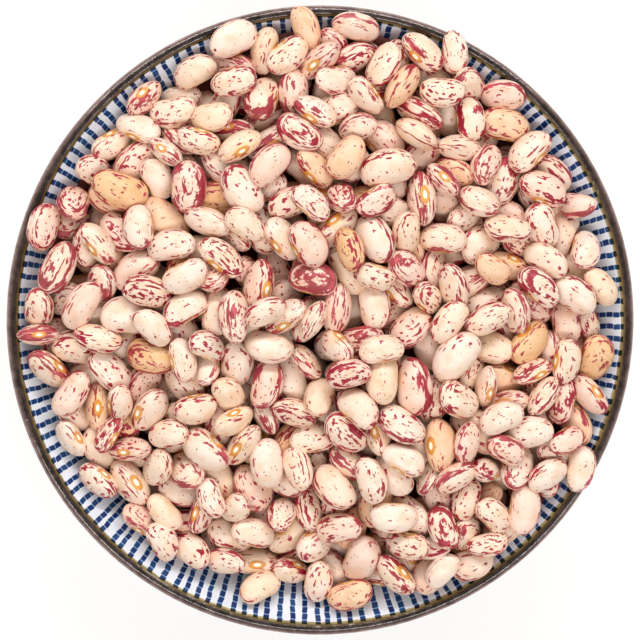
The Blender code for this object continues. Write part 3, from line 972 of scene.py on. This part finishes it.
class BEANBOWL_OT_set_stage(bpy.types.Operator):
    """Sets the pale floor, the soft light and the camera"""

    bl_idname = "beanbowl.set_stage"
    bl_label = "Set Stage"

    def execute(self, context):
        scene = context.scene
        look = scene.stage_look
        bm = bmesh.new()
        bmesh.ops.create_grid(bm, x_segments=1, y_segments=1, size=look.floor_width / 2)
        mesh = bpy.data.meshes.new("pale_floor")
        bm.to_mesh(mesh)
        bm.free()
        mesh.materials.append(floor_material(look, shared_group("Mottle", mottle_group)))
        floor = bpy.data.objects.new("pale_floor", mesh)
        scene.collection.objects.link(floor)

        for name, lean, share in (
            ("far_strip_lamp", look.far_lean, look.lamp_share),
            ("near_strip_lamp", -look.near_lean, 1 - look.lamp_share),
        ):
            light = bpy.data.lights.new(name, "AREA")
            light.shape = "RECTANGLE"
            light.size = look.lamp_length
            light.size_y = look.lamp_width
            light.energy = look.lamp_power * share
            lamp = bpy.data.objects.new(name, light)
            lamp.location = look.lamp_distance * Vector((0, math.sin(lean), math.cos(lean)))
            lamp.rotation_euler = (-lamp.location).to_track_quat("-Z", "Y").to_euler()
            scene.collection.objects.link(lamp)

        world = bpy.data.worlds.new("even_white")
        world.use_nodes = True
        backdrop = world.node_tree.nodes["Background"]
        backdrop.inputs["Color"].default_value = (1, 1, 1, 1)
        backdrop.inputs["Strength"].default_value = look.sky
        scene.world = world
        scene.view_settings.view_transform = "Standard"
        scene.view_settings.gamma = look.view_gamma

        camera_data = bpy.data.cameras.new("camera")
        camera = bpy.data.objects.new("camera", camera_data)
        rim = Vector((0, 0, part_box("bowl")[1].z))
        lean = math.sin(look.camera_tilt)
        away = Vector((
            math.cos(look.camera_side) * lean, math.sin(look.camera_side) * lean, math.cos(look.camera_tilt)
        ))
        side = Vector((math.cos(look.camera_side), math.sin(look.camera_side), 0))
        camera.location = rim + side * look.camera_aim + away * look.camera_distance
        across = Vector((1, 0, 0))
        across = (across - away * across.dot(away)).normalized()
        camera.rotation_euler = Matrix((across, away.cross(across), away)).transposed().to_euler()
        view_width = 2 * RIM_RADIUS * PICTURE_SIDE / look.rim_pixels
        camera_data.lens = camera_data.sensor_width * look.camera_distance / view_width
        scene.collection.objects.link(camera)
        scene.camera = camera
        return {"FINISHED"}


class BEANBOWL_PT_panel(bpy.types.Panel):
    """Lists the steps that make the bowl of beans"""

    bl_idname = "BEANBOWL_PT_panel"
    bl_label = "Bowl of Dried Beans"
    bl_space_type = "VIEW_3D"
    bl_region_type = "UI"
    bl_category = "Bean Bowl"

    def draw(self, context):
        for operator in OPERATORS:
            self.layout.operator(operator.bl_idname)
        for label in LOOKS:
            look = getattr(context.scene, label)
            box = self.layout.box()
            for name in look.bl_rna.properties.keys():
                if name not in ("rna_type", "name"):
                    box.prop(look, name)


OPERATORS = (BEANBOWL_OT_turn_bowl, BEANBOWL_OT_make_core, BEANBOWL_OT_lay_beans, BEANBOWL_OT_set_stage)
LOOKS = {"bowl_look": BowlLook, "bean_look": BeanLook, "stage_look": StageLook}


def register():
    for kind in (*LOOKS.values(), *OPERATORS, BEANBOWL_PT_panel):
        bpy.utils.register_class(kind)
    for label, kind in LOOKS.items():
        setattr(bpy.types.Scene, label, PointerProperty(type=kind))


def unregister():
    for label in LOOKS:
        delattr(bpy.types.Scene, label)
    for kind in reversed((*LOOKS.values(), *OPERATORS, BEANBOWL_PT_panel)):
        bpy.utils.unregister_class(kind)


def main():
    register()
    bpy.ops.beanbowl.turn_bowl()
    bpy.ops.beanbowl.make_core()
    bpy.ops.beanbowl.lay_beans()
    bpy.ops.beanbowl.set_stage()


if __name__ == "__main__":
    main()
